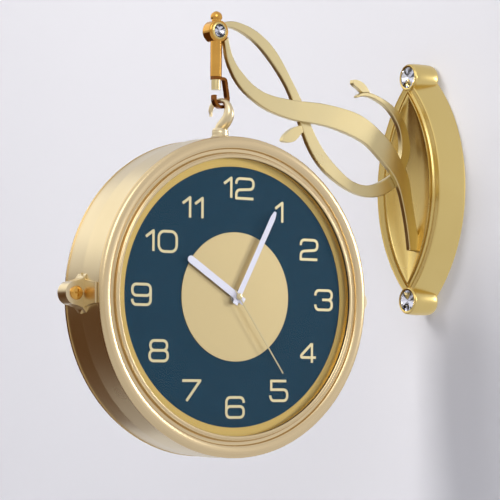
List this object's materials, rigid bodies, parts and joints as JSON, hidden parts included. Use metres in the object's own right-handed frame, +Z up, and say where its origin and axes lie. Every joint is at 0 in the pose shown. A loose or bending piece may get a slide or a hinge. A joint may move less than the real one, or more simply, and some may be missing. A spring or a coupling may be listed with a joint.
{
  "type": "double-sided wall clock",
  "caption": "Round double-sided clock that hangs by an open hook from a scrollwork wall bracket, free to turn and to swing.",
  "frame": {"origin": "middle of the wall plate's back, halfway between the two wall screws", "axes": "+X out of the plate's back into the wall, +Z up, the front dial faces -Y and the arm reaches towards -X"},
  "size_m": [0.4273, 0.109, 0.4207],
  "materials": {
    "satin_gold_casting": "satin gold paint on a casting",
    "polished_gold": "polished plating",
    "champagne_sheet": "fine brushed satin",
    "crystal": "clear, cut",
    "steel": "plain",
    "bronze_strap": "dark bronze",
    "clear_glass": "clear, domed",
    "rubber_seal": "matt",
    "flange_gold": "satin gold",
    "dial_teal": "matt print",
    "disc_gold": "spun finish",
    "numeral_gold": "satin",
    "movement_plastic": "moulded",
    "battery_skin": "printed sleeve, no lettering",
    "hand_paint": "satin white",
    "needle_gold": "satin gold"
  },
  "bodies": {
    "bracket": {"wall_plate": "satin_gold_casting", "plate_crystal_rings": "polished_gold", "plate_crystals": "crystal", "arm_ribbon": "satin_gold_casting", "arm_scroll": "satin_gold_casting", "lower_leaf": "satin_gold_casting", "upper_tendril": "satin_gold_casting", "tendril_leaf": "satin_gold_casting", "arm_screws": "steel", "tip_barrel": "polished_gold", "barrel_crystal_rings": "polished_gold", "barrel_crystals": "crystal"},
    "hanger": {"hanger_rod": "polished_gold", "thrust_washer": "polished_gold", "finial_nut": "polished_gold", "hanger_hook": "bronze_strap", "rod_nut": "steel"},
    "clock": {"clock_hook": "champagne_sheet", "hook_washer": "steel", "hook_nut": "steel", "lug_screws": "polished_gold", "lug_nuts": "polished_gold", "front_case": "champagne_sheet", "front_lugs": "champagne_sheet", "front_bezel": "champagne_sheet", "front_glass": "clear_glass", "front_glass_seal": "rubber_seal", "front_dial_flange": "flange_gold", "front_dial": "dial_teal", "front_centre_disc": "disc_gold", "front_numerals": "numeral_gold", "front_movement_case": "movement_plastic", "front_movement_nut": "steel", "front_battery": "battery_skin", "front_battery_contacts": "steel", "rear_case": "champagne_sheet", "rear_lugs": "champagne_sheet", "rear_bezel": "champagne_sheet", "rear_glass": "clear_glass", "rear_glass_seal": "rubber_seal", "rear_dial_flange": "flange_gold", "rear_dial": "dial_teal", "rear_centre_disc": "disc_gold", "rear_numerals": "numeral_gold", "rear_movement_case": "movement_plastic", "rear_movement_nut": "steel", "rear_battery": "battery_skin", "rear_battery_contacts": "steel"},
    "front_hour": {"front_hour_hand": "hand_paint", "front_hour_tube": "movement_plastic"},
    "front_minute": {"front_minute_hand": "hand_paint", "front_minute_arbor": "steel"},
    "front_second": {"front_second_hand": "needle_gold"},
    "front_setter": {"front_setting_wheel": "movement_plastic"},
    "rear_hour": {"rear_hour_hand": "hand_paint", "rear_hour_tube": "movement_plastic"},
    "rear_minute": {"rear_minute_hand": "hand_paint", "rear_minute_arbor": "steel"},
    "rear_second": {"rear_second_hand": "needle_gold"},
    "rear_setter": {"rear_setting_wheel": "movement_plastic"}
  },
  "joints": [
    {"name": "hanger_swivel", "type": "hinge", "parent": "bracket", "child": "hanger", "pos_m": [-0.2623, 0, 0.1365], "axis": [0, 0, 1], "continuous": true},
    {"name": "clock_swing", "type": "hinge", "parent": "hanger", "child": "clock", "pos_m": [-0.257, 0, 0.0667], "axis": [1, 0, 0], "range_deg": [-6, 6]},
    {"name": "front_hour_turn", "type": "hinge", "parent": "clock", "child": "front_hour", "pos_m": [-0.257, 0, -0.115], "axis": [0, 1, 0], "continuous": true},
    {"name": "front_minute_turn", "type": "hinge", "parent": "clock", "child": "front_minute", "pos_m": [-0.257, 0, -0.115], "axis": [0, 1, 0], "continuous": true},
    {"name": "front_second_turn", "type": "hinge", "parent": "clock", "child": "front_second", "pos_m": [-0.257, 0, -0.115], "axis": [0, 1, 0], "continuous": true},
    {"name": "front_setter_turn", "type": "hinge", "parent": "clock", "child": "front_setter", "pos_m": [-0.243, 0, -0.1], "axis": [0, 1, 0], "continuous": true},
    {"name": "rear_hour_turn", "type": "hinge", "parent": "clock", "child": "rear_hour", "pos_m": [-0.257, 0, -0.115], "axis": [0, -1, 0], "continuous": true},
    {"name": "rear_minute_turn", "type": "hinge", "parent": "clock", "child": "rear_minute", "pos_m": [-0.257, 0, -0.115], "axis": [0, -1, 0], "continuous": true},
    {"name": "rear_second_turn", "type": "hinge", "parent": "clock", "child": "rear_second", "pos_m": [-0.257, 0, -0.115], "axis": [0, -1, 0], "continuous": true},
    {"name": "rear_setter_turn", "type": "hinge", "parent": "clock", "child": "rear_setter", "pos_m": [-0.271, 0, -0.1], "axis": [0, -1, 0], "continuous": true}
  ],
  "couplings": [
    {"joint": "front_hour_turn", "follows": "front_minute_turn", "ratio": 0.083333},
    {"joint": "front_setter_turn", "follows": "front_minute_turn", "ratio": -1},
    {"joint": "rear_hour_turn", "follows": "rear_minute_turn", "ratio": 0.083333},
    {"joint": "rear_setter_turn", "follows": "rear_minute_turn", "ratio": -1}
  ]
}
